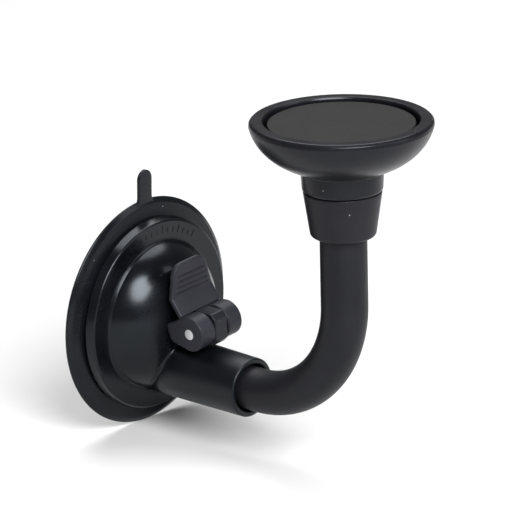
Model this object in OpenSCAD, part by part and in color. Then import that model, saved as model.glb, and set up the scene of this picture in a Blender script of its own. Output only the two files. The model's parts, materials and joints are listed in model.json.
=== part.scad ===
// Car phone mount: a lever-locked suction base, a bendable neck and a magnetic head.
// X runs from the glass along the cup's axis and Z is up, in millimetres.
// The origin is the middle of the cup's sealing plane, and the neck bends in the plane y = 0.

/* [Suction base] */
// Diameter of the suction cup over its sealing rim
cup_d = 72; // [68:1:80]
// Diameter of the housing's flange
flange_d = 61.4; // [60:0.2:66]
// Width of the pull tab
tab_w = 6.2; // [5:0.1:9]
// Length of the pull tab beyond the rim
tab_len = 9.6; // [6:0.2:14]

/* [Lever] */
// Width over both ears
lever_w = 18.4; // [17:0.2:22]
// Reach of the thumb plate above the pin
plate_reach = 20.5; // [18:0.1:28]
// Turn of the lever and the plunger about the post
lever_roll = 4.4; // [-8:0.2:8]
// Diameter of the pin
pin_d = 3.8; // [3:0.1:4]

/* [Neck] */
// Outside diameter of the neck's cover
neck_d = 14.4; // [13:0.1:14.4]
// Diameter of the neck's core
core_d = 6; // [5:0.2:6.4]
// Radius of the bend as built
bend_r = 34.4; // [30:0.1:45]
// Angle of the bend as built
bend_deg = 91.6; // [70:0.2:100]
// Straight length from the bend to the collar
riser_len = 22.1; // [20:0.1:60]

/* [Head] */
// Diameter of the head
head_d = 55.6; // [52:0.2:70]
// Diameter of the grip disc
pad_d = 44.6; // [42:0.2:45]
// Thickness of the grip disc
pad_t = 1.5; // [1:0.1:2]

/* [Hidden] */

// clearances
slack = 0.05;          // round parts that turn or slide in each other
gap = 0.3;             // parts that only pass each other
eps = 0.01;

// suction cup, as radius and height above the glass
cup_r = cup_d / 2;
rim_bevel = 1.5;
rim_t = 1.5;
hub_r = 10.5;
hub_h = 9.2;
cup_shoulder = 8;
dish_h = 4.6;
dish_r = 9;
lip_w = 1;
back_bend = 1.3;
dish_bend = 1.4;
cup_steps = 14;
tab_t = 1.2;

// plunger
disc_r = 8.6;
disc_t = 1.6;
disc_x = 6;
post_r = 3.6;
head_half_w = 2.8;
head_reach = 5.2;
head_flat = 3.5;
pin_x = 26.9;
pin_z = 1;
post_flat = 9.7;
pin_r = pin_d / 2;

// housing
flange_r = flange_d / 2;
foot_x = 3.15;
foot_in_r = 26.2;
ring_x = 6.4;
flange_taper = 0.8;
flange_edge = 0.7;
dome_arc = 18.4;
dome_c = 6.5;
dome_low = -0.5;
seat_x = 17.6;
wall = 2.4;
dome_steps = 16;
guide_r = 5.3;
guide_x = 11.5;
spring_room = 7.3;
ceiling_x = seat_x - wall;

// return spring
wire = 0.8;
coil_r = 6.2;
coil_turns = 3;

// neck socket
neck_z = -15.15;
mouth_x = 44.7;
socket_r = 9.6;
socket_mouth_r = 9.28;
socket_round = 1;
bore_x = 16;
ferrule_len = 14;

// screws
screw_r = 2;
screw_head_r = 3.5;
screw_head_h = 2.4;
anchor_len = 11.5;

// neck
neck_r = neck_d / 2;
core_r = core_d / 2;
bore_r = neck_r + slack;
lead = 2.6;
bend_x = mouth_x + lead;
bend_n = 5;
bend_step = bend_deg / bend_n;
half_riser = riser_len / 2;
flare = 28;
cover_end = riser_len + 5;

// head, measured up the riser from the end of the bend
ferrule_top = riser_len + 13.5;
collar_top = riser_len + 14.1;
collar_r0 = 10.1;
collar_r1 = 12;
collar_edge = 1.5;
swivel_gap = 0.3;
neck_foot = collar_top + swivel_gap;
neck_foot_r = 12;
neck_top = riser_len + 20.6;
neck_top_r = 12.6;
face_z = riser_len + 36.2;
head_r = head_d / 2;
rim_z = face_z - 2.8;
belly = [24.6, neck_top + 4];
bolt_seat = riser_len + 18.8;
bolt_tip = riser_len + 8.6;
washer_r = 6;
washer_t = 0.7;
pad_r = pad_d / 2;
pad_drop = 1;
pad_gap = 1.1;
pad_z = face_z - pad_drop - pad_t;
carrier_t = 3.4;
carrier_r = 20.8;
plate_t = 1.2;
magnet_r = 5;
magnet_t = 3;
magnet_ring = 13.4;
bowl_steps = 14;

// lever, relative to the pin
ear_in = head_half_w + gap;
ear_r = 5.6;
lock_reach = pin_x - seat_x;
throw = 2.2;
cam_slack = 0.04;
cam_stop = 40;
cam_steps = 16;
head_sweep = 6.6;
plate_thick = 1.9;
plate_knee = [-6.05, 10];
plate_foot = [-2.65, 5.4];
plate_lean = 2;
plate_corner = 5;
plate_top_w = 15.8;
groove_n = 4;
groove_up = 1.9;
groove_end = 1.5;
groove_step = 1.8;
groove_w = 0.7;
groove_deep = 0.35;

function cup_back(r) =
  rim_t + (cup_shoulder - rim_t) * pow((cup_r - rim_bevel - r) / (cup_r - rim_bevel - hub_r), back_bend);
function cup_under(r) = dish_h * pow((cup_r - lip_w - r) / (cup_r - lip_w - dish_r), dish_bend);
function mix(a, b, t) = a + (b - a) * t;
function bezier(p, q, s, t) = (1 - t) * (1 - t) * p + 2 * t * (1 - t) * q + t * t * s;

module along_x() rotate([0, 90, 0]) children();

module turned(points) rotate_extrude($fn = 96) polygon(points);

module rolled() rotate([lever_roll, 0, 0]) children();

module at_pin() rolled() translate([pin_x, 0, pin_z]) children();

module at_socket(x) translate([x, 0, neck_z]) along_x() children();

// a place on the bend, with the local z pointing up the neck
module at_bend(a)
  translate([bend_x + bend_r * sin(a), 0, neck_z + bend_r * (1 - cos(a))])
    rotate([0, 90 - a, 0]) children();

module at_riser(h = 0) at_bend(bend_deg) translate([0, 0, h]) children();

module bend_rod(r, a, b)
  translate([bend_x, 0, neck_z + bend_r])
    rotate([90, 0, 0])
      rotate([0, 0, a - 90])
        rotate_extrude(angle = b - a, $fn = 96) translate([bend_r, 0]) circle(r = r, $fn = 64);

module suction_cup() color("#2b2b30") {
  back = [for (i = [0 : cup_steps]) let (r = mix(cup_r - rim_bevel, hub_r, i / cup_steps)) [r, cup_back(r)]];
  under = [for (i = [0 : cup_steps]) let (r = mix(dish_r, cup_r - lip_w, i / cup_steps)) [r, cup_under(r)]];
  difference() {
    union() {
      along_x() turned(concat([[cup_r, 0], [cup_r, 0.5]], back, [[hub_r, hub_h], [0, hub_h], [0, dish_h]],
               under));
      tab_end = cup_r + tab_len - tab_w / 2;
      translate([0, -tab_w / 2, cup_r - 2]) cube([tab_t, tab_w, tab_end - cup_r + 2]);
      translate([0, 0, tab_end]) along_x() cylinder(r = tab_w / 2, h = tab_t, $fn = 64);
    }
    translate([disc_x, 0, 0]) along_x() cylinder(r = disc_r, h = disc_t, $fn = 96);
    translate([disc_x, 0, 0]) along_x() cylinder(r = post_r, h = hub_h, $fn = 64);
  }
}

module plunger() color("#3a3a40") difference() {
  union() {
    translate([disc_x, 0, 0]) along_x() cylinder(r = disc_r, h = disc_t, $fn = 96);
    translate([disc_x, 0, 0]) along_x() cylinder(r = post_r, h = pin_x - disc_x, $fn = 64);
    at_pin() lever_side(head_half_w * 2) polygon([
      [-head_reach, -head_flat], [-head_flat, -head_reach], [head_flat, -head_reach],
      [head_reach, -head_flat], [head_reach, head_flat], [head_flat, head_reach],
      [-head_flat, head_reach], [-head_reach, head_flat]
    ]);
  }
  at_pin() lever_side(lever_w) circle(r = pin_r + eps, $fn = 64);
  // flats that let the lever's ears pass the post
  rolled() for (s = [-1, 1])
    translate([pin_x - post_flat, s * (head_half_w + post_r) - post_r, -post_r * 2])
      cube([post_flat * 2, post_r * 2, post_r * 4]);
}

module return_spring() color("#b9bcc2") {
  room = ceiling_x - hub_h;
  pitch = (room - wire) / coil_turns;
  spread = 360 * wire / (pitch + wire);
  n = 5;
  inner = [for (i = [0 : n]) (coil_r - wire / 2) * [cos(spread * i / n), sin(spread * i / n)]];
  outer = [for (i = [n : -1 : 0]) (coil_r + wire / 2) * [cos(spread * i / n), sin(spread * i / n)]];
  translate([hub_h, 0, 0]) along_x()
    linear_extrude(height = room, twist = -360 * coil_turns, slices = coil_turns * 20)
      polygon(concat(inner, outer));
}

module dome_solid(offset_in, low, top) {
  arc = dome_arc - offset_in;
  function arc_r(x) = dome_c + sqrt(arc * arc - (x - dome_low) * (x - dome_low));
  side = [for (i = [0 : dome_steps])
    let (s = sin(90 * i / dome_steps), x = mix(low, top, s)) [arc_r(x), x]];
  along_x() turned(concat([[0, low]], side, [[0, top]]));
}

module flange() {
  n = 6;
  side_r = flange_r - flange_taper;
  round_off = [for (i = [0 : n])
    [side_r - flange_edge * (1 - cos(90 * i / n)), ring_x - flange_edge * (1 - sin(90 * i / n))]];
  along_x() turned(concat(
    [[0, 4.6], [22.5, 4.6], [foot_in_r, foot_x], [flange_r - 0.3, foot_x], [flange_r, foot_x + 0.3]],
    round_off,
    [[24.3, ring_x], [23.7, ring_x + 0.2], [23.2, ring_x + 0.7], [0, ring_x + 0.7]]
  ));
}

module socket_body() {
  n = 6;
  edge = [for (i = [0 : n])
    [socket_mouth_r - socket_round * (1 - cos(90 * i / n)), mouth_x - socket_round * (1 - sin(90 * i / n))]];
  at_socket(0) turned(concat([[0, 5], [socket_r + 0.05, 5], [socket_r, 19]], edge, [[0, mouth_x]]));
}

module housing() color("#26262b") {
  difference() {
    union() {
      difference() {
        union() {
          dome_solid(0, 5, seat_x);
          flange();
          socket_body();
        }
        dome_solid(wall, foot_x - 1, guide_x);
        difference() {
          dome_solid(wall, foot_x - 1, ceiling_x);
          socket_body();
        }
        translate([foot_x, 0, 0]) along_x() cylinder(r = spring_room, h = ceiling_x - foot_x, $fn = 96);
      }
      translate([guide_x, 0, 0]) along_x() cylinder(r = guide_r, h = seat_x - guide_x, $fn = 96);
    }
    translate([foot_x, 0, 0]) along_x() cylinder(r = post_r + slack, h = seat_x, $fn = 96);
    at_socket(bore_x) cylinder(r = bore_r, h = mouth_x, $fn = 96);
    at_socket(foot_x) cylinder(r = screw_r + gap, h = mouth_x / 2, $fn = 64);
    at_socket(foot_x) cylinder(r = screw_head_r + gap, h = guide_x - foot_x, $fn = 64);
  }
}

// the ear's edge that rolls on the seat while the lever is thrown
function cam_point(a) =
  let (h = lock_reach - cam_slack - throw * a / 90, d = -throw / (PI / 2))
  [-h * cos(a) + d * sin(a), -h * sin(a) - d * cos(a)];

module ear_outline() {
  cam = [for (i = [0 : cam_steps]) cam_point(cam_stop * i / cam_steps)];
  union() {
    circle(r = ear_r, $fn = 96);
    polygon(concat(cam, [[-0.8, 0.06 - ear_r], [3, 3], [-1.6, 5.2], [-4.5, 3.9], [-6.8, 2.3]]));
  }
}

module plate_outline() {
  tip = plate_knee + [-tan(plate_lean), 1] * (plate_reach - plate_knee[1]);
  polygon([
    plate_foot, plate_knee, tip, tip - [plate_thick, 0], plate_knee - [plate_thick, 0.6],
    [-4.4, 4.3], [-4.4, 2.6], [0, 3], [-2.2, 4.8]
  ]);
}

// the plate seen from the front, narrower at the top and with round corners
module plate_front() {
  half = lever_w / 2;
  top = plate_top_w / 2;
  corner_z = plate_reach - plate_corner;
  rotate([90, 0, 90]) linear_extrude(40) polygon([
    [-half, 0], [half, 0], [half, plate_knee[1]], [top, corner_z], [top - plate_corner, plate_reach],
    [plate_corner - top, plate_reach], [-top, corner_z], [-half, plate_knee[1]]
  ]);
  for (s = [-1, 1])
    translate([0, s * (top - plate_corner), corner_z]) along_x() cylinder(r = plate_corner, h = 40, $fn = 96);
}

module lever_side(w) rotate([90, 0, 0]) translate([0, 0, -w / 2]) linear_extrude(w) children();

module lever() color("#34343a") at_pin() difference() {
  union() {
    difference() {
      lever_side(lever_w) ear_outline();
      lever_side(ear_in * 2) circle(r = 30, $fn = 96);
    }
    intersection() {
      lever_side(lever_w) plate_outline();
      translate([-20, 0, 0]) plate_front();
    }
  }
  // room for the plunger's head between the ears
  lever_side(ear_in * 2) circle(r = head_sweep, $fn = 96);
  lever_side(lever_w + 2) circle(r = pin_r + slack, $fn = 64);
  for (i = [0 : groove_n - 1])
    translate([plate_knee[0], 0, plate_knee[1]]) rotate([0, -plate_lean, 0])
      translate([-groove_deep, groove_end - lever_w / 2, groove_up + i * groove_step])
        cube([2, lever_w - 2 * groove_end, groove_w]);
}

module lever_pin() color("#c9ccd0") at_pin() rotate([90, 0, 0]) {
  chamfer = 0.3;
  half = lever_w / 2;
  turned([
    [0, -half], [pin_r - chamfer, -half], [pin_r, chamfer - half],
    [pin_r, half - chamfer], [pin_r - chamfer, half], [0, half]
  ]);
}

module base_ferrule() color("#9a9ca2") at_socket(bore_x)
  difference() {
    cylinder(r = neck_r, h = ferrule_len, $fn = 96);
    translate([0, 0, -1]) cylinder(r = screw_r, h = 9, $fn = 64);
    translate([0, 0, 9]) cylinder(r = core_r, h = ferrule_len, $fn = 64);
  }

module screw(len) {
  translate([0, 0, -screw_head_h]) difference() {
    cylinder(r = screw_head_r, h = screw_head_h, $fn = 64);
    translate([-2.6, -0.5, -1]) cube([5.2, 1, 1.9]);
    translate([-0.5, -2.6, -1]) cube([1, 5.2, 1.9]);
  }
  cylinder(r = screw_r, h = len, $fn = 64);
}

module anchor_screw() color("#b5b7bc") at_socket(guide_x) screw(anchor_len);

// the open mouth at the start of a cover, where the core before it swings
module flared_mouth()
  translate([0, 0, -neck_r - 1])
    cylinder(r1 = core_r + 0.6 + (neck_r + 1) * tan(flare), r2 = core_r + 0.6, h = neck_r + 1, $fn = 96);

module ball(r) sphere(r = r, $fn = 96);

module neck_cover_lead() color("#2e2e33") difference() {
  at_socket(bore_x + ferrule_len) cylinder(r = neck_r, h = bend_x - bore_x - ferrule_len, $fn = 96);
  at_socket(bore_x) cylinder(r = core_r, h = bend_x, $fn = 64);
  at_bend(0) ball(neck_r + gap);
}

module neck_core_lead() color("#8f9197") difference() {
  at_socket(bore_x + 9) cylinder(r = core_r, h = bend_x - bore_x - 9, $fn = 64);
  at_bend(0) ball(core_r + gap);
}

module neck_cover_bend(i) color("#2e2e33") {
  a = (i - 1) * bend_step;
  b = i * bend_step;
  difference() {
    union() {
      bend_rod(neck_r, a, b);
      at_bend(a) ball(neck_r - slack);
    }
    bend_rod(core_r, a - 1, b);
    at_bend(a) flared_mouth();
    at_bend(b) ball(neck_r + gap);
  }
}

module neck_core_bend(i) color("#8f9197") {
  a = (i - 1) * bend_step;
  b = i * bend_step;
  difference() {
    union() {
      bend_rod(core_r, a, b);
      at_bend(a) ball(core_r - slack);
    }
    at_bend(b) ball(core_r + gap);
  }
}

module neck_cover_riser(low, high, socket) color("#2e2e33") at_riser() difference() {
  union() {
    translate([0, 0, low]) cylinder(r = neck_r, h = high - low, $fn = 96);
    translate([0, 0, low]) ball(neck_r - slack);
  }
  translate([0, 0, low - 1]) cylinder(r = core_r, h = high, $fn = 64);
  translate([0, 0, low]) flared_mouth();
  if (socket) translate([0, 0, high]) ball(neck_r + gap);
}

module neck_core_riser(low, high, socket) color("#8f9197") at_riser() difference() {
  union() {
    translate([0, 0, low]) cylinder(r = core_r, h = high - low, $fn = 64);
    translate([0, 0, low]) ball(core_r - slack);
  }
  if (socket) translate([0, 0, high]) ball(core_r + gap);
}

module top_ferrule() color("#9a9ca2") at_riser() difference() {
  translate([0, 0, cover_end]) cylinder(r = neck_r, h = ferrule_top - cover_end, $fn = 96);
  translate([0, 0, cover_end - 1]) cylinder(r = core_r, h = 4, $fn = 64);
  translate([0, 0, bolt_tip - 0.5]) cylinder(r = screw_r, h = 20, $fn = 64);
}

module collar() color("#3c3c42") at_riser() {
  n = 6;
  low = [for (i = [0 : n])
    [collar_r0 - collar_edge * (1 - sin(90 * i / n)), riser_len + collar_edge * (1 - cos(90 * i / n))]];
  turned(concat(
    [[bore_r, riser_len]], low,
    [[collar_r1, collar_top - 0.3], [collar_r1 - 0.3, collar_top], [screw_r + 0.3, collar_top],
      [screw_r + 0.3, ferrule_top], [bore_r, ferrule_top]]
  ));
}

module swivel_bolt() color("#b5b7bc") at_riser(bolt_seat + slack)
  rotate([180, 0, 0]) screw(bolt_seat + slack - bolt_tip);

module friction_washer() color("#a3a5aa") at_riser(collar_top)
  difference() {
    cylinder(r = washer_r, h = washer_t, $fn = 96);
    translate([0, 0, -1]) cylinder(r = screw_r + 0.3, h = washer_t + 2, $fn = 64);
  }

module head_shell() color("#2a2a2f") at_riser() {
  bowl = [for (i = [1 : bowl_steps])
    bezier([head_r - 0.3, rim_z], belly, [neck_top_r, neck_top], 1 - i / bowl_steps)];
  difference() {
    turned(concat(
      [[0, neck_foot], [neck_foot_r, neck_foot], [neck_foot_r + 0.3, neck_foot + 0.3],
       [neck_top_r, neck_top]],
      bowl,
      [[head_r, rim_z + 0.5], [head_r, face_z - 0.5], [head_r - 0.5, face_z], [0, face_z]]
    ));
    translate([0, 0, pad_z]) cylinder(r = pad_r + pad_gap, h = 10, $fn = 96);
    translate([0, 0, pad_z - carrier_t - plate_t]) cylinder(r = carrier_r + slack, h = 10, $fn = 96);
    translate([0, 0, bolt_seat]) cylinder(r = 6, h = 20, $fn = 96);
    translate([0, 0, neck_top + 3.2])
      cylinder(r1 = 6, r2 = 17, h = pad_z - carrier_t - plate_t - neck_top - 3.2 + eps, $fn = 96);
    translate([0, 0, neck_foot - 1]) cylinder(r = screw_r + slack, h = 20, $fn = 64);
    translate([0, 0, neck_foot - 1])
        cylinder(r = washer_r + 0.4, h = 1 + washer_t - swivel_gap + slack, $fn = 96);
  }
}

module back_plate() color("#8b8d93") at_riser(pad_z - carrier_t - plate_t)
  difference() {
    cylinder(r = carrier_r, h = plate_t, $fn = 96);
    translate([0, 0, -1]) cylinder(r = 4, h = plate_t + 2, $fn = 64);
  }

module at_magnet(i) at_riser(pad_z - carrier_t)
  rotate([0, 0, 60 * i - 60]) translate([magnet_ring, 0, 0]) children();

module magnet_carrier() color("#1f1f23") difference() {
  at_riser(pad_z - carrier_t) cylinder(r = carrier_r, h = carrier_t, $fn = 96);
  for (i = [1 : 6]) at_magnet(i) translate([0, 0, -1])
        cylinder(r = magnet_r + slack, h = magnet_t + 1, $fn = 64);
}

module magnet(i) color("#c4c7cc") at_magnet(i) cylinder(r = magnet_r, h = magnet_t, $fn = 64);

module grip_disc() color("#3f3f40") at_riser(pad_z)
  turned([[0, 0], [pad_r, 0], [pad_r, pad_t - 0.3], [pad_r - 0.3, pad_t], [0, pad_t]]);

suction_cup();
plunger();
return_spring();
housing();
lever();
lever_pin();
base_ferrule();
anchor_screw();
neck_cover_lead();  // neck_cover_1
neck_cover_bend(1);  // neck_cover_2
neck_cover_bend(2);  // neck_cover_3
neck_cover_bend(3);  // neck_cover_4
neck_cover_bend(4);  // neck_cover_5
neck_cover_bend(5);  // neck_cover_6
neck_cover_riser(0, half_riser, true);  // neck_cover_7
neck_cover_riser(half_riser, cover_end, false);  // neck_cover_8
neck_core_lead();  // neck_core_1
neck_core_bend(1);  // neck_core_2
neck_core_bend(2);  // neck_core_3
neck_core_bend(3);  // neck_core_4
neck_core_bend(4);  // neck_core_5
neck_core_bend(5);  // neck_core_6
neck_core_riser(0, half_riser, true);  // neck_core_7
neck_core_riser(half_riser, cover_end + 3, false);  // neck_core_8
top_ferrule();
collar();
swivel_bolt();
friction_washer();
head_shell();
back_plate();
magnet_carrier();
magnet(1);  // magnet_1
magnet(2);  // magnet_2
magnet(3);  // magnet_3
magnet(4);  // magnet_4
magnet(5);  // magnet_5
magnet(6);  // magnet_6
grip_disc();
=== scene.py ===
import json
import math

import bmesh
import bpy
import numpy as np
from mathutils import Matrix, Vector


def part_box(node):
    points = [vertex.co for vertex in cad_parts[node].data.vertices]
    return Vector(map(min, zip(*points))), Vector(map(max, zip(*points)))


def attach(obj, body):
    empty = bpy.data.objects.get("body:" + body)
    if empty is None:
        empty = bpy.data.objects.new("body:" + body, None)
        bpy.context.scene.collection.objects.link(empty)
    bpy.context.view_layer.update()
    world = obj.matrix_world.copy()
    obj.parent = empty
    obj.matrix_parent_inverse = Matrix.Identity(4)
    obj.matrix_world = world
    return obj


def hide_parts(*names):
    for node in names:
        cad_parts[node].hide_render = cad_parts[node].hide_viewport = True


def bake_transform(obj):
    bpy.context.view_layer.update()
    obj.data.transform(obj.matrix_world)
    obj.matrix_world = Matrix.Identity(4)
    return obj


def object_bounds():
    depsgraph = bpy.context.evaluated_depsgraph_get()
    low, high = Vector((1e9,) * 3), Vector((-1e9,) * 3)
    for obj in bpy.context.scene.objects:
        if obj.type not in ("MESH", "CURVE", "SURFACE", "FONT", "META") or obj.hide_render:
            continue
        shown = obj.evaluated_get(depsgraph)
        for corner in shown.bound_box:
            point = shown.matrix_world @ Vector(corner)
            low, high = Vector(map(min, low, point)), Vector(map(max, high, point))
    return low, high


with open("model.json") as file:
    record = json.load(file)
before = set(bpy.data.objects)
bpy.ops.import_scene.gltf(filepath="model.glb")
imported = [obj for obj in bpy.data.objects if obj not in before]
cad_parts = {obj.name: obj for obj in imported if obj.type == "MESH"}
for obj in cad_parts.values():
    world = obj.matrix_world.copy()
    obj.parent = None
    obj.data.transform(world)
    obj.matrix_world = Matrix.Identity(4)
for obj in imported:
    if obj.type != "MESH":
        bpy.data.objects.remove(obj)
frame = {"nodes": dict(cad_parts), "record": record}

MM = 0.001
CAD_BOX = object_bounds()
JOINT = {j["name"]: j for j in frame["record"]["behaviour"]["joints"]}
scene = bpy.context.scene


# ---------- frames ----------

def frame_along(origin, axis):
    """A matrix whose local z runs along axis from origin; lengths inside it are in millimetres."""
    z = Vector(axis).normalized()
    y = Vector((0, 1, 0))
    x = y.cross(z).normalized()
    turn = Matrix((x, z.cross(x), z)).transposed().to_4x4()
    return Matrix.Translation(origin) @ turn @ Matrix.Scale(MM, 4)


NECK_Z = JOINT["neck_bend_1"]["pos_m"][2]
CUP = frame_along((0, 0, 0), (1, 0, 0))
SOCKET = frame_along((0, 0, NECK_Z), (1, 0, 0))
HEAD_AXIS = Vector(JOINT["head_swivel"]["axis"])
HEAD_UP = 36.5                       # the swivel's height above the end of the bend
RISER_FOOT = Vector(JOINT["head_swivel"]["pos_m"]) - HEAD_AXIS * HEAD_UP * MM
RISER = frame_along(RISER_FOOT, HEAD_AXIS)
PIN = Vector(JOINT["lever_throw"]["pos_m"])
PIN_AXIS = JOINT["lever_throw"]["axis"]
ROLL = Matrix.Rotation(math.atan2(PIN_AXIS[2], PIN_AXIS[1]), 4, "X")     # the plunger's turn in its bore


# ---------- meshes ----------

def make(name, verts, faces, smooth=True, sharp=None):
    """A mesh object with its faces turned outwards; edges steeper than sharp degrees stay sharp."""
    mesh = bpy.data.meshes.new(name)
    mesh.from_pydata([tuple(v) for v in verts], [], faces)
    work = bmesh.new()
    work.from_mesh(mesh)
    bmesh.ops.recalc_face_normals(work, faces=work.faces)
    work.to_mesh(mesh)
    work.free()
    mesh.update()
    if smooth:
        mesh.polygons.foreach_set("use_smooth", [True] * len(mesh.polygons))
    if sharp:
        mesh.set_sharp_from_angle(angle=math.radians(sharp))
    obj = bpy.data.objects.new(name, mesh)
    scene.collection.objects.link(obj)
    return obj


def weighted(obj):
    m = obj.modifiers.new("normals", "WEIGHTED_NORMAL")
    m.weight = 100
    m.keep_sharp = True
    return obj


def bake(obj):
    """Applies the modifiers."""
    dg = bpy.context.evaluated_depsgraph_get()
    mesh = bpy.data.meshes.new_from_object(obj.evaluated_get(dg), depsgraph=dg)
    obj.modifiers.clear()
    old, obj.data = obj.data, mesh
    bpy.data.meshes.remove(old)
    return obj


def rounded(points, steps=5):
    """A polyline from (x, y, corner radius) points, with each corner rounded."""
    out = []
    n = len(points)
    for i, p in enumerate(points):
        r = p[2] if len(p) > 2 else 0
        if not r or i in (0, n - 1):
            out.append((p[0], p[1]))
            continue
        a, b, c = (np.array(points[k][:2], float) for k in (i - 1, i, i + 1))
        u, w = (a - b), (c - b)
        lu, lw = np.linalg.norm(u), np.linalg.norm(w)
        u, w = u / lu, w / lw
        half = math.acos(max(-1, min(1, float(u @ w)))) / 2
        cut = min(r / math.tan(half), lu * 0.49, lw * 0.49)
        rr = cut * math.tan(half)
        centre = b + (u + w) / np.linalg.norm(u + w) * (rr / math.sin(half))
        s, e = b + u * cut - centre, b + w * cut - centre
        turn = math.atan2(s[0] * e[1] - s[1] * e[0], float(s @ e))
        for k in range(steps + 1):
            t = turn * k / steps
            along, across = math.cos(t), math.sin(t)
            q = centre + np.array((s[0] * along - s[1] * across, s[0] * across + s[1] * along))
            out.append((q[0], q[1]))
    return out


def resample(points, longest):
    """The polyline with points added, so that no step is longer than longest."""
    out = [points[0]]
    for a, b in zip(points, points[1:]):
        n = max(1, math.ceil(math.dist(a, b) / longest))
        out += [(a[0] + (b[0] - a[0]) * k / n, a[1] + (b[1] - a[1]) * k / n) for k in range(1, n + 1)]
    return out


def lathe(name, profile, place, steps=192):
    """Turns (radius, height) points about the local z."""
    verts, faces, rings = [], [], []
    for r, h in profile:
        if r < 1e-6:
            rings.append([len(verts)])
            verts.append(place @ Vector((0, 0, h)))
        else:
            rings.append(list(range(len(verts), len(verts) + steps)))
            for k in range(steps):
                a = 2 * math.pi * k / steps
                verts.append(place @ Vector((r * math.cos(a), r * math.sin(a), h)))
    for a, b in zip(rings, rings[1:]):
        if len(a) == 1 and len(b) == 1:
            continue
        for k in range(steps):
            n = (k + 1) % steps
            if len(a) == 1:
                faces.append((a[0], b[n], b[k]))
            elif len(b) == 1:
                faces.append((a[k], a[n], b[0]))
            else:
                faces.append((a[k], a[n], b[n], b[k]))
    return make(name, verts, faces)


def prism(outline, y0, y1, bevel, steps=3):
    """Vertices and faces of a prism across y with bevelled ends.

    The outline is anticlockwise seen from -y, in (x, z).
    """
    p = np.array(outline, float)
    d = np.roll(p, -1, 0) - np.roll(p, 1, 0)
    nrm = np.stack([d[:, 1], -d[:, 0]], 1)
    nrm /= np.linalg.norm(nrm, axis=1)[:, None]
    levels = [(y0 + bevel * (1 - math.sin(math.pi / 2 * (1 - k / steps))),
               bevel * (1 - math.cos(math.pi / 2 * (1 - k / steps)))) for k in range(steps + 1)]
    levels += [(y1 - (y - y0), inset) for y, inset in levels[::-1]]
    verts, faces, n = [], [], len(p)
    for y, inset in levels:
        q = p - nrm * inset
        verts += [Vector((a, y, b)) for a, b in q]
    for r in range(len(levels) - 1):
        for k in range(n):
            m = (k + 1) % n
            faces.append((r * n + k, r * n + m, (r + 1) * n + m, (r + 1) * n + k))
    faces.append(tuple(range(n))[::-1])
    last = (len(levels) - 1) * n
    faces.append(tuple(range(last, last + n)))
    return verts, faces


def joined(parts):
    verts, faces = [], []
    for v, f in parts:
        base = len(verts)
        verts += v
        faces += [tuple(base + i for i in face) for face in f]
    return verts, faces


def fused(name, parts, place, voxel, smooth):
    """The union of closed shapes as one skin, its inner corners softened; parts are in millimetres."""
    verts, faces = joined(parts)
    obj = make(name, verts, faces)
    m = obj.modifiers.new("skin", "REMESH")
    m.mode = "VOXEL"
    m.voxel_size = voxel
    m.adaptivity = 0
    s = obj.modifiers.new("soften", "SMOOTH")
    s.factor = 0.5
    s.iterations = smooth
    bake(obj)
    obj.data.transform(place)
    obj.data.polygons.foreach_set("use_smooth", [True] * len(obj.data.polygons))
    obj.data.update()
    return obj


# ---------- materials ----------

MAT = {}                             # a slot's name to its material


class Nodes:
    """One procedural material, with short calls for the nodes that it needs."""

    def __init__(self, name):
        self.m = bpy.data.materials.new(name)
        self.m.use_nodes = True
        self.t = self.m.node_tree
        self.p = self.t.nodes["Principled BSDF"]
        self.where = self.t.nodes.new("ShaderNodeTexCoord").outputs["Object"]

    def add(self, kind, **inputs):
        n = self.t.nodes.new(kind)
        for k, v in inputs.items():
            self.feed(n.inputs[k.replace("_", " ")], v)
        return n

    def feed(self, socket, value):
        if hasattr(value, "is_linked") and hasattr(value, "node"):
            self.t.links.new(value, socket)
        else:
            socket.default_value = value

    def noise(self, scale, detail=3.0, rough=0.5, stretch=None):
        where = self.where
        if stretch:
            where = self.add("ShaderNodeMapping", Vector=where, Scale=stretch).outputs["Vector"]
        n = self.add("ShaderNodeTexNoise", Vector=where, Scale=scale, Detail=detail, Roughness=rough)
        return n.outputs["Fac"]

    def ramp(self, fac, low, high, a=0.0, b=1.0):
        n = self.add("ShaderNodeMapRange", Value=fac)
        for k, v in (("From Min", low), ("From Max", high), ("To Min", a), ("To Max", b)):
            n.inputs[k].default_value = v
        return n.outputs["Result"]

    def mix(self, fac, a, b):
        n = self.t.nodes.new("ShaderNodeMix")
        n.data_type = "RGBA"
        for s, v in ((n.inputs[0], fac), (n.inputs[6], a), (n.inputs[7], b)):
            self.feed(s, v)
        return n.outputs[2]

    def maths(self, op, a, b):
        n = self.t.nodes.new("ShaderNodeMath")
        n.operation = op
        self.feed(n.inputs[0], a)
        self.feed(n.inputs[1], b)
        return n.outputs[0]


def rgba(c):
    return (c[0], c[1], c[2], 1.0)


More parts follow.
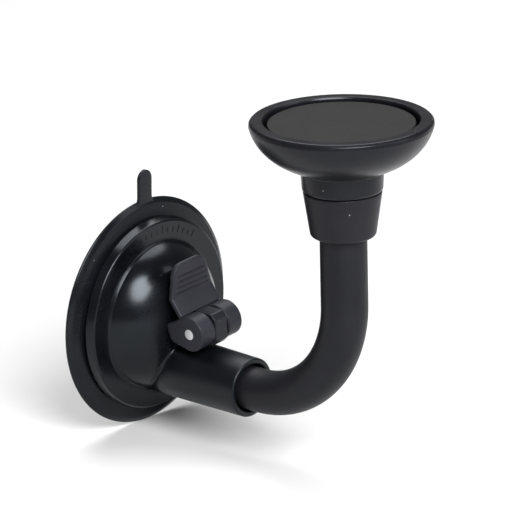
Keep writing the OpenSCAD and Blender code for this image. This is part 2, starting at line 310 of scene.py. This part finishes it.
def plastic(name, colour, rough, grain=2600, dust=0.0, bump=0.02, spec=0.5, sheen=(0.90, 0.92, 1.0),
            matt_from=None):
    """Moulded plastic or rubber: a fine grain, slow changes of sheen, light scuffs and a little dust.

    Beyond x = matt_from the polish gives way to a matt finish, as on the socket.
    """
    vary, scuff = 0.06, 0.3
    n = Nodes(name)
    slow = n.noise(90, 4)
    fine = n.noise(grain, 2)
    scratch = n.noise(700, 3, 0.6, stretch=(1.0, 0.12, 1.0))
    base = n.mix(n.ramp(slow, 0.35, 0.65), rgba([c * 0.86 for c in colour]), rgba([c * 1.16 for c in colour]))
    worn = n.ramp(scratch, 0.64, 0.74, 0.0, scuff)
    base = n.mix(worn, base, rgba([min(1, c * 1.7 + 0.006) for c in colour]))
    if dust:
        specks = n.add("ShaderNodeTexVoronoi", Vector=n.where, Scale=420.0)
        pick = n.ramp(specks.outputs["Distance"], 0.10, 0.05)
        rare = n.ramp(n.noise(260, 1), 0.66, 0.68)
        base = n.mix(n.maths("MULTIPLY", n.maths("MULTIPLY", pick, rare), dust), base, (0.42, 0.42, 0.42, 1))
    n.feed(n.p.inputs["Base Color"], base)
    wide = n.ramp(slow, 0.3, 0.7, rough - vary, rough + vary)
    if matt_from:
        x = n.add("ShaderNodeSeparateXYZ", Vector=n.where).outputs["X"]
        wide = n.maths("ADD", wide, n.ramp(x, matt_from - 0.004, matt_from + 0.004, 0.0, 0.2))
    n.feed(n.p.inputs["Roughness"], n.maths("ADD", wide, n.ramp(fine, 0.3, 0.7, -0.03, 0.03)))
    n.p.inputs["Specular IOR Level"].default_value = spec
    n.p.inputs["Specular Tint"].default_value = rgba(sheen)
    b = n.add("ShaderNodeBump", Height=n.maths("ADD", fine, n.maths("MULTIPLY", slow, 0.6)), Strength=bump)
    b.inputs["Distance"].default_value = 0.0002
    n.feed(n.p.inputs["Normal"], b.outputs["Normal"])
    MAT[name] = n.m


def metal(name, colour, rough, scale=900, stretch=(1, 1, 0.05)):
    """Bare metal with a fine brushed grain along stretch."""
    n = Nodes(name)
    brush = n.noise(scale, 3, stretch=stretch)
    slow = n.noise(160, 3)
    dull = rgba([c * 0.85 for c in colour])
    n.feed(n.p.inputs["Base Color"], n.mix(n.ramp(slow, 0.3, 0.7), dull, rgba(colour)))
    n.p.inputs["Metallic"].default_value = 1.0
    n.feed(n.p.inputs["Roughness"], n.ramp(brush, 0.3, 0.7, rough - 0.08, rough + 0.1))
    b = n.add("ShaderNodeBump", Height=brush, Strength=0.08)
    b.inputs["Distance"].default_value = 0.00005
    n.feed(n.p.inputs["Normal"], b.outputs["Normal"])
    MAT[name] = n.m


BLACK_BLUE = (0.84, 0.92, 1.0)
NEUTRAL = (1.0, 1.0, 1.0)
SOCKET_FROM = 0.018                  # x where the polished dome ends and the matt socket goes on

# name, colour, roughness, grain, dust, bump, gloss
plastic("cup_rubber", (0.0034, 0.0039, 0.0052), 0.24, 1800, 0.45, 0.015, 0.21)
plastic("housing_plastic", (0.0020, 0.0024, 0.0034), 0.22, 2200, 0.3, 0.006, 0.27,
        sheen=BLACK_BLUE, matt_from=SOCKET_FROM)
plastic("lever_plastic", (0.0155, 0.0155, 0.0200), 0.40, 3200, 0.3, 0.08, 0.16)
plastic("post_plastic", (0.0075, 0.0078, 0.0102), 0.36, 3200, 0.2, 0.06, 0.20)
plastic("neck_rubber", (0.0064, 0.0064, 0.0082), 0.48, 2600, 0.9, 0.20, 0.20)
plastic("collar_plastic", (0.0072, 0.0070, 0.0092), 0.44, 3200, 0.8, 0.09, 0.20)
plastic("head_plastic", (0.0050, 0.0050, 0.0068), 0.30, 3000, 0.7, 0.05, 0.22)
plastic("disc_rubber", (0.0088, 0.0087, 0.0085), 0.58, 3600, 0.4, 0.26, 0.15, sheen=NEUTRAL)
plastic("carrier_plastic", (0.03, 0.03, 0.03), 0.5)
metal("pin_steel", (0.66, 0.66, 0.68), 0.38, stretch=(1, 1, 1))
metal("spring_steel", (0.62, 0.62, 0.64), 0.3)
metal("ferrule_metal", (0.60, 0.60, 0.62), 0.35)
metal("screw_steel", (0.66, 0.66, 0.68), 0.28)
metal("core_steel", (0.50, 0.50, 0.52), 0.35)
metal("plate_steel", (0.55, 0.55, 0.57), 0.35)
metal("magnet_metal", (0.72, 0.72, 0.74), 0.15)

SLOT_OF = {s["node"]: s["material_slot"] for s in frame["record"]["subparts"]}
for node, obj in frame["nodes"].items():
    obj.data.materials.clear()
    obj.data.materials.append(MAT[SLOT_OF[node]])


def dress(obj, slot, body=None, *nodes):
    """Gives a piece its material, the body that it rides on and the nodes that it stands for."""
    obj.data.materials.clear()
    obj.data.materials.append(MAT[slot])
    if nodes:
        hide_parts(*nodes)
    if body:
        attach(obj, body)
    return obj


# ---------- camera, floor and light ----------

AIM = Vector((0.02582, 0.02290, 0.01738))
AZIMUTH, ELEVATION, DISTANCE, LENS = 41.57, 18.83, 1.8541, 421.9
a, e = math.radians(AZIMUTH), math.radians(ELEVATION)
BACK = Vector((math.sin(a) * math.cos(e), -math.cos(a) * math.cos(e), math.sin(e)))
cam_data = bpy.data.cameras.new("camera")
cam_data.lens, cam_data.sensor_width = LENS, 36.0
cam_data.clip_start, cam_data.clip_end = 0.05, 20.0
camera = bpy.data.objects.new("camera", cam_data)
camera.location = AIM + BACK * DISTANCE
camera.rotation_euler = (-BACK).to_track_quat("-Z", "Y").to_euler()
scene.collection.objects.link(camera)
scene.camera = camera

FLOOR_Z = CAD_BOX[0].z
FLOOR_HALF = 6.0
corners = [(x * FLOOR_HALF, y * FLOOR_HALF, FLOOR_Z) for x, y in ((-1, -1), (1, -1), (1, 1), (-1, 1))]
floor = make("floor", corners, [(0, 1, 2, 3)], smooth=False)
floor_mat = Nodes("floor_paint")
floor_mat.feed(floor_mat.p.inputs["Base Color"],
               floor_mat.mix(floor_mat.noise(3, 2), (0.55, 0.55, 0.55, 1), (0.57, 0.57, 0.57, 1)))
floor_mat.p.inputs["Roughness"].default_value = 0.9
floor.data.materials.append(floor_mat.m)

world = bpy.data.worlds.new("world")
scene.world = world
world.use_nodes = True
world.node_tree.nodes["Background"].inputs["Color"].default_value = (1, 1, 1, 1)
world.node_tree.nodes["Background"].inputs["Strength"].default_value = 0.16
scene.view_settings.view_transform = "Standard"


def softbox(name, azimuth, elevation, away, width, height, power, aim=(0.03, 0, 0.01)):
    az, el = math.radians(azimuth), math.radians(elevation)
    back = Vector((math.sin(az) * math.cos(el), -math.cos(az) * math.cos(el), math.sin(el)))
    light = bpy.data.lights.new(name, "AREA")
    light.shape = "ELLIPSE"
    light.size, light.size_y, light.energy = width, height, power
    obj = bpy.data.objects.new(name, light)
    obj.location = Vector(aim) + back * away
    obj.rotation_euler = (-back).to_track_quat("-Z", "Y").to_euler()
    scene.collection.objects.link(obj)


softbox("key", 61, 39, 0.9, 0.56, 0.56, 15)
softbox("fill_left", -30, 35, 1.2, 0.9, 0.9, 0.3)
softbox("rim_right", 120, 25, 1.1, 0.5, 0.9, 3.0)
softbox("back_top", 221, 80, 1.0, 1.1, 1.1, 15, (-0.20, 0.24, -0.03))


# ---------- suction base ----------

def arc(cr, cx, r, a0, a1, n):
    return [(cr + r * math.cos(math.radians(a0 + (a1 - a0) * k / n)),
             cx + r * math.sin(math.radians(a0 + (a1 - a0) * k / n))) for k in range(n + 1)]


RIM_R = (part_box("suction_cup")[1].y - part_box("suction_cup")[0].y) / 2 / MM


def cup_back(r):
    return 1.5 + 6.5 * ((RIM_R - 1.5 - r) / (RIM_R - 1.5 - 10.5)) ** 1.3


def cup_under(r):
    return 4.6 * ((RIM_R - 1 - r) / (RIM_R - 1 - 9)) ** 1.4


def suction_cup():
    lip = rounded([(RIM_R - 1, 0, 0), (RIM_R - 0.05, 0.02, 0.2), (RIM_R - 0.05, 0.55, 0.45),
                   (RIM_R - 1.55, 1.46, 0.7), (RIM_R - 3.2, cup_back(RIM_R - 3.2), 0)], 6)
    back = [(r, cup_back(r)) for r in np.linspace(RIM_R - 3.6, 10.6, 26)]
    hub = rounded([(10.6, cup_back(10.6), 0), (10.4, 9.15, 0.4), (3.7, 9.15, 0)], 4)
    under = [(0, 4.62), (9, 4.6)] + [(r, cup_under(r)) for r in np.linspace(10, RIM_R - 1.2, 26)]
    body = lathe("cup", lip + back + hub + [(3.7, 5.4), (0, 5.4)], CUP, 256)
    inner = lathe("cup_under", under + [(RIM_R - 1, 0)], CUP, 256)
    # the pull tab
    half_w, t, top = 3.05, 1.15, (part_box("suction_cup")[1].z / MM)
    rows = []
    zs = list(np.linspace(RIM_R - 1.8, top - half_w, 16))
    zs += [top - half_w + half_w * math.sin(s) for s in np.linspace(0.15, 1.5, 12)]
    for z in zs:
        over = max(0.0, z - (top - half_w))
        hw = math.sqrt(max(half_w ** 2 - over ** 2, 0.02))
        flare = 1.2 * max(0.0, 1 - (z - RIM_R + 1.8) / 3.0) ** 2
        rows.append((z, hw + flare))
    verts, faces, m = [], [], 20
    for z, hw in rows:
        for k in range(m):
            s = 2 * math.pi * k / m
            cx, cy = math.cos(s), math.sin(s)
            px = t / 2 + (t / 2 - 0.03) * math.copysign(abs(cx) ** 0.45, cx)
            py = hw * math.copysign(abs(cy) ** 0.30, cy)
            verts.append(Vector((px * MM, (py - 0.4) * MM, z * MM)))
    for r in range(len(rows) - 1):
        for k in range(m):
            n = (k + 1) % m
            faces.append((r * m + k, r * m + n, (r + 1) * m + n, (r + 1) * m + k))
    faces.append(tuple(range((len(rows) - 1) * m, len(rows) * m)))
    tab = make("cup_tab", verts, faces)
    return body, inner, tab


cup, under, tab = suction_cup()
dress(cup, "cup_rubber", None, "suction_cup")
dress(under, "cup_rubber")
dress(tab, "cup_rubber")
for piece in (cup, under):
    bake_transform(piece)
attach(tab, "base")

DOME_R, DOME_C, DOME_X, SEAT_X, RING_X = 18.4, 6.5, -0.5, 17.6, 6.4
SOCKET_R, MOUTH_R, MOUTH_X = 9.6, 9.28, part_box("housing")[1].x / MM
FLANGE_R = (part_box("housing")[1].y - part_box("housing")[0].y) / 2 / MM


def dome_x(r):
    return min(SEAT_X, DOME_X + math.sqrt(max(0.0, DOME_R ** 2 - max(0.0, r - DOME_C) ** 2)))


def housing_shell():
    low = math.degrees(math.asin((RING_X + 0.6 - DOME_X) / DOME_R))
    top = math.degrees(math.asin((SEAT_X - 0.12 - DOME_X) / DOME_R))
    skin = rounded([
        (22.6, 4.6, 0), (26.2, 3.15, 0.2), (FLANGE_R - 0.15, 3.15, 0.35), (FLANGE_R - 0.85, RING_X, 0.7),
        (24.3, RING_X, 0.3), (23.55, RING_X + 0.12, 0.25), (23.4, RING_X + 0.6, 0)], 6)
    dome = arc(DOME_C, DOME_X, DOME_R, low, top, 40)
    crown = [(9.2, SEAT_X), (8.2, SEAT_X), (6.0, SEAT_X), (3.75, SEAT_X), (3.7, 12.0), (22.0, 12.0 - 8.5)]
    return lathe("housing_dome", resample(skin, 0.6) + dome + crown, CUP, 256)


def socket_tube():
    outer = [(SOCKET_R + 0.02, 5.4), (SOCKET_R, 19.0), (MOUTH_R, MOUTH_X, 0.7), (7.75, MOUTH_X, 0.3),
             (7.25, MOUTH_X - 1.2, 0.4), (7.12, MOUTH_X - 3.0), (7.12, MOUTH_X - 12)]
    return lathe("housing_socket", resample(rounded(outer, 6), 0.8), SOCKET, 192)


def socket_root():
    """The small fillet where the socket leaves the dome and the flange."""
    fillet, rows, steps = 1.1, 7, 256
    neck = -NECK_Z / MM
    verts, faces = [], []
    for j in range(rows + 1):
        t = math.pi / 2 * j / rows
        d = fillet * (1 - math.sin(t))
        lift = fillet * (1 - math.cos(t))
        for k in range(steps):
            s = 2 * math.pi * k / steps
            y, z = (SOCKET_R + d) * math.cos(s), -neck + (SOCKET_R + d) * math.sin(s)
            r = math.hypot(y, z)
            ground = dome_x(r) if r < DOME_C + DOME_R - 0.9 else RING_X
            verts.append(Vector(((ground + lift - 0.03) * MM, y * MM, z * MM)))
    for j in range(rows):
        for k in range(steps):
            n = (k + 1) % steps
            faces.append((j * steps + k, j * steps + n, (j + 1) * steps + n, (j + 1) * steps + k))
    return make("housing_root", verts, faces)


shell = weighted(housing_shell())
dress(shell, "housing_plastic", "base", "housing")
tube = weighted(socket_tube())
dress(tube, "housing_plastic", "base")
root = socket_root()
dress(root, "housing_plastic", "base")


def ring_ticks():
    """Plain short marks moulded on the flange, where the real one has raised characters."""
    half_w, low_r, count, first_deg, step_deg = 0.28, 25.9, 13, 118, 5.2
    x = Vector((1, 0, 0))
    faces = [(0, 1, 5, 4), (1, 2, 6, 5), (2, 3, 7, 6), (3, 0, 4, 7), (4, 5, 6, 7)]
    parts = []
    for i in range(count):
        mid = math.radians(first_deg - step_deg * i)
        tall = 2.4 if i % 3 == 0 else 1.6
        centre = low_r + tall / 2
        u = Vector((0, math.cos(mid), math.sin(mid)))
        v = Vector((0, -math.sin(mid), math.cos(mid)))
        quad = [(low_r, -half_w), (low_r + tall, -half_w), (low_r + tall, half_w), (low_r, half_w)]
        foot = [x * (RING_X - 0.05) + u * r + v * side for r, side in quad]
        top = [x * (RING_X + 0.16) + u * (centre + (r - centre) * 0.9) + v * side * 0.6 for r, side in quad]
        parts.append((foot + top, faces))
    verts, faces = joined(parts)
    return make("housing_marks", [q * MM for q in verts], faces, smooth=False)


dress(ring_ticks(), "housing_plastic", "base")


# ---------- lever ----------

EAR_R, EAR_IN = 5.6, 3.1
LEVER_W, PLATE_TOP = 18.4, 20.5
THROW, LOCK = 2.2, 9.3


def cam_point(deg):
    h, d, t = LOCK - 0.08 - THROW * deg / 90, -THROW / (math.pi / 2), math.radians(deg)
    return -h * math.cos(t) + d * math.sin(t), -h * math.sin(t) - d * math.cos(t)


def ear_outline():
    lobe = [cam_point(d) for d in np.linspace(2, 39, 14)]
    ball = [(EAR_R * math.cos(t), EAR_R * math.sin(t)) for t in np.radians(np.linspace(-100, 118, 52))]
    root = rounded([ball[-1], (-4.6, 3.9, 0.6), (-6.8, 2.25, 0.8), (-9.0, 1.5, 0.5), (*lobe[0], 0)], 4)
    return resample([*lobe, *ball, *root[1:-1], lobe[0]], 0.5)[:-1]


KNEE, FOOT = (-7.0, 9.75), (-3.4, 4.8)
LEAN = 2.0
TOP_HALF_W = 7.87


def plate_line():
    """The thumb plate's middle line in (x, z) from the pin, with a soft knee."""
    top = PLATE_TOP - 0.05
    tip = (KNEE[0] - (top - KNEE[1]) * math.tan(math.radians(LEAN)), top)
    return resample(rounded([(*FOOT, 0), (KNEE[0], KNEE[1], 1.1), (tip[0], tip[1], 0)], 10), 0.12)


def thumb_plate():
    line = np.array(plate_line())
    step = np.linalg.norm(np.diff(line, axis=0), axis=1)
    along = np.concatenate([[0], np.cumsum(step)])
    total, half_w, half_t, corner = along[-1], LEVER_W / 2, 0.94, 5.0
    tangent = np.gradient(line, axis=0)
    tangent /= np.linalg.norm(tangent, axis=1)[:, None]
    m, verts, faces = 120, [], []
    grooves = [total - 9.6 + 1.8 * i for i in range(4)]
    for s, (x, z), (tx, tz) in zip(along, line, tangent):
        left = total - s
        narrow = max(0.0, min(1.0, (z - KNEE[1]) / (PLATE_TOP - corner - KNEE[1])))
        hw = half_w + (TOP_HALF_W - half_w) * narrow - corner
        hw += math.sqrt(max(corner ** 2 - max(0.0, corner - left) ** 2, 0.05))
        ht = half_t * math.sqrt(max(1 - max(0.0, 1 - left / 1.0) ** 2, 0.02))
        for k in range(m):
            c, q = math.cos(2 * math.pi * k / m), math.sin(2 * math.pi * k / m)
            y = (hw - 0.01) * math.copysign(abs(c) ** 0.16, c)
            n = ht * math.copysign(abs(q) ** 0.42, q)
            if n > 0 and abs(y) < hw - 1.5:
                for g in grooves:
                    n -= 0.38 * math.exp(-(((s - g) / 0.27) ** 2)) * min(1.0, (hw - 1.5 - abs(y)) / 0.5)
            # the front faces away from the dome
            verts.append(Vector((x + n * tz, y, z - n * tx)))
    rows = len(line)
    for r in range(rows - 1):
        for k in range(m):
            n = (k + 1) % m
            faces.append((r * m + k, r * m + n, (r + 1) * m + n, (r + 1) * m + k))
    faces.append(tuple(range(m))[::-1])
    faces.append(tuple(range((rows - 1) * m, rows * m)))
    return verts, faces


at_pin = Matrix.Translation(PIN) @ ROLL @ Matrix.Scale(MM, 4)
lever = fused("lever_body", [
    prism(ear_outline(), -LEVER_W / 2 + 0.02, -EAR_IN, 0.5),
    prism(ear_outline(), EAR_IN, LEVER_W / 2 - 0.02, 0.5),
    thumb_plate(),
], at_pin, 0.13, 2)
dress(lever, "lever_plastic", "lever", "lever")

HEAD_REACH, HEAD_FLAT, HEAD_HALF_W, POST_R, POST_FLAT = 5.15, 3.5, 2.76, 3.6, 9.7


def plunger_head():
    """The eight-sided block between the ears, its corners rounded."""
    r, f = HEAD_REACH, HEAD_FLAT
    corners = [(0, -r, 0), (f, -r, 0.8), (r, -f, 0.8), (r, f, 0.8), (f, r, 0.8), (-f, r, 0.8), (-r, f, 0.8),
               (-r, -f, 0.8), (-f, -r, 0.8), (0, -r, 0)]
    v, f = prism(resample(rounded(corners, 4), 1.0)[:-1], -HEAD_HALF_W, HEAD_HALF_W, 0.35)
    return make("plunger_head", [at_pin @ q for q in v], f, sharp=35)


def plunger_post():
    """The post through the dome, flat on two sides where the ears pass it."""
    verts, faces, m = [], [], 72
    back = PIN.x / MM
    levels = [(6.0, False), (back - POST_FLAT - 0.02, False), (back - POST_FLAT, True), (back - 4.0, True)]
    for x, flat in levels:
        for k in range(m):
            t = 2 * math.pi * k / m
            y, z = POST_R * math.cos(t), POST_R * math.sin(t)
            verts.append(ROLL @ Vector((x, max(-HEAD_HALF_W, min(HEAD_HALF_W, y)) if flat else y, z)) * MM)
    for r in range(len(levels) - 1):
        for k in range(m):
            n = (k + 1) % m
            faces.append((r * m + k, r * m + n, (r + 1) * m + n, (r + 1) * m + k))
    faces += [tuple(range(m))[::-1], tuple(range((len(levels) - 1) * m, len(levels) * m))]
    return make("plunger_post", verts, faces, sharp=35)


dress(weighted(plunger_head()), "post_plastic", "plunger", "plunger")
dress(weighted(plunger_post()), "post_plastic", "plunger")
foot_profile = rounded([(0, 6.02, 0), (8.55, 6.02, 0.2), (8.55, 7.58, 0.2), (3.0, 7.58, 0)], 3)
dress(weighted(lathe("plunger_foot", foot_profile, CUP, 96)), "post_plastic", "plunger")

PIN_R, PIN_END = 1.89, -LEVER_W / 2
end = rounded([
    (0, PIN_END, 0), (1.68, PIN_END + 0.01, 0.12), (PIN_R, PIN_END + 0.22, 0.12), (PIN_R, 0, 0)], 4)
pin_frame = Matrix.Translation(PIN) @ ROLL @ Matrix.Rotation(-math.pi / 2, 4, "X") @ Matrix.Scale(MM, 4)
pin_profile = end + [(r, -h) for r, h in end[-2::-1]]
dress(lathe("pin_body", pin_profile, pin_frame, 64), "pin_steel", "plunger", "lever_pin")


# ---------- neck ----------

NECK_LOW_R, NECK_TUBE_R = 6.7, 7.18
BEND_R, BEND_DEG = 34.4, 91.6
BEND_X = JOINT["neck_bend_1"]["pos_m"][0] / MM
BEND_LEN = BEND_R * math.radians(BEND_DEG)
STEP = BEND_LEN / 5
AT = [STEP * i for i in range(6)] + [BEND_LEN + 11.05]


def neck_at(s):
    """The point and direction a length s up the neck from the start of the bend, in mm."""
    z0 = NECK_Z / MM
    if s < 0:
        return Vector((BEND_X + s, 0, z0)), Vector((1, 0, 0))
    t = min(s, BEND_LEN) / BEND_R
    p = Vector((BEND_X + BEND_R * math.sin(t), 0, z0 + BEND_R * (1 - math.cos(t))))
    d = Vector((math.cos(t), 0, math.sin(t)))
    return p + d * max(0.0, s - BEND_LEN), d


def neck_r(s):
    return NECK_LOW_R + (NECK_TUBE_R - NECK_LOW_R) * max(0.0, min(1.0, (s + 3) / (BEND_LEN + 3))) ** 0.8


def neck_piece(name, s0, s1):
    rows, m = max(8, math.ceil((s1 - s0) / 0.6)), 128
    verts, faces = [], []
    for i in range(rows + 1):
        s = s0 + (s1 - s0) * i / rows
        (p, d), r = neck_at(s), neck_r(s)
        side = Vector((0, 1, 0))
        out = side.cross(d)
        for k in range(m):
            t = 2 * math.pi * k / m
            verts.append((p + (out * math.cos(t) + side * math.sin(t)) * r) * MM)
    for i in range(rows):
        for k in range(m):
            n = (k + 1) % m
            faces.append((i * m + k, i * m + n, (i + 1) * m + n, (i + 1) * m + k))
    return make(name, verts, faces)


cuts = [-9.0] + [(AT[i] + AT[i + 1]) / 2 for i in range(6)] + [BEND_LEN + 26.0]
for i in range(7):
    piece = neck_piece(f"neck_sleeve_{i + 1}", cuts[i], cuts[i + 1])
    covers = [f"neck_cover_{i + 2}"] + (["neck_cover_1"] if i == 0 else [])
    dress(piece, "neck_rubber", None, *covers)
    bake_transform(piece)


# ---------- head ----------

HEAD_R, NECK_TOP_R = 27.8, 12.6
COLLAR_LOW, COLLAR_TOP, NECK_TOP, FACE = 22.1, 36.2, 42.7, 58.3


def bezier(p, q, s, t):
    return (1 - t) ** 2 * p + 2 * t * (1 - t) * q + t * t * s


LOW, TOP = COLLAR_LOW + 0.02, COLLAR_TOP - 0.02
collar_profile = rounded([
    (7.1, COLLAR_LOW + 1.2, 0), (7.5, LOW, 0.4), (9.85, LOW, 1.3), (10.2, COLLAR_LOW + 2.2, 0),
    (11.98, TOP, 0.25), (10.6, TOP, 0), (7.0, TOP, 0)], 6)
collar = weighted(lathe("collar_sleeve", resample(collar_profile, 0.9), RISER, 192))
dress(collar, "collar_plastic", "neck_7", "collar")

RIM_LOW = FACE - 2.8
FOOT_LOW = COLLAR_TOP + 0.32
bowl = [(bezier(HEAD_R - 0.32, 24.6, NECK_TOP_R + 0.02, t),
         bezier(RIM_LOW, NECK_TOP + 4.0, NECK_TOP + 0.1, t)) for t in np.linspace(1, 0, 36)]
lower = rounded([
    (2.2, FOOT_LOW, 0), (11.6, FOOT_LOW, 0.0), (12.0, COLLAR_TOP + 0.42, 0.12),
    (12.25, COLLAR_TOP + 1.0, 0.3), (NECK_TOP_R - 0.05, NECK_TOP - 0.4, 0.25),
    (NECK_TOP_R + 0.02, NECK_TOP + 0.1, 0)], 4)
rim = rounded([
    (HEAD_R - 0.32, RIM_LOW, 0), (HEAD_R, FACE - 1.8, 0.9), (HEAD_R - 0.12, FACE - 0.7, 0.6),
    (HEAD_R - 0.85, FACE - 0.02, 0.6), (23.75, FACE - 0.02, 0.3), (23.48, FACE - 0.6, 0.2),
    (23.42, FACE - 2.4, 0)], 6)
head_profile = resample(lower, 0.8)[:-1] + bowl[:-1] + resample(rim, 0.8)
head = weighted(lathe("head_bowl", head_profile, RISER, 256))
dress(head, "head_plastic", "head", "head_shell")

DISC_R, DISC_TOP = 22.28, FACE - 1.02
disc_profile = rounded([
    (DISC_R, DISC_TOP - 1.38, 0), (DISC_R, DISC_TOP, 0.35), (21.0, DISC_TOP, 0), (0, DISC_TOP, 0)], 4)
disc = weighted(lathe("grip_face", resample(disc_profile, 1.2), RISER, 192))
dress(disc, "disc_rubber", "head", "grip_disc")
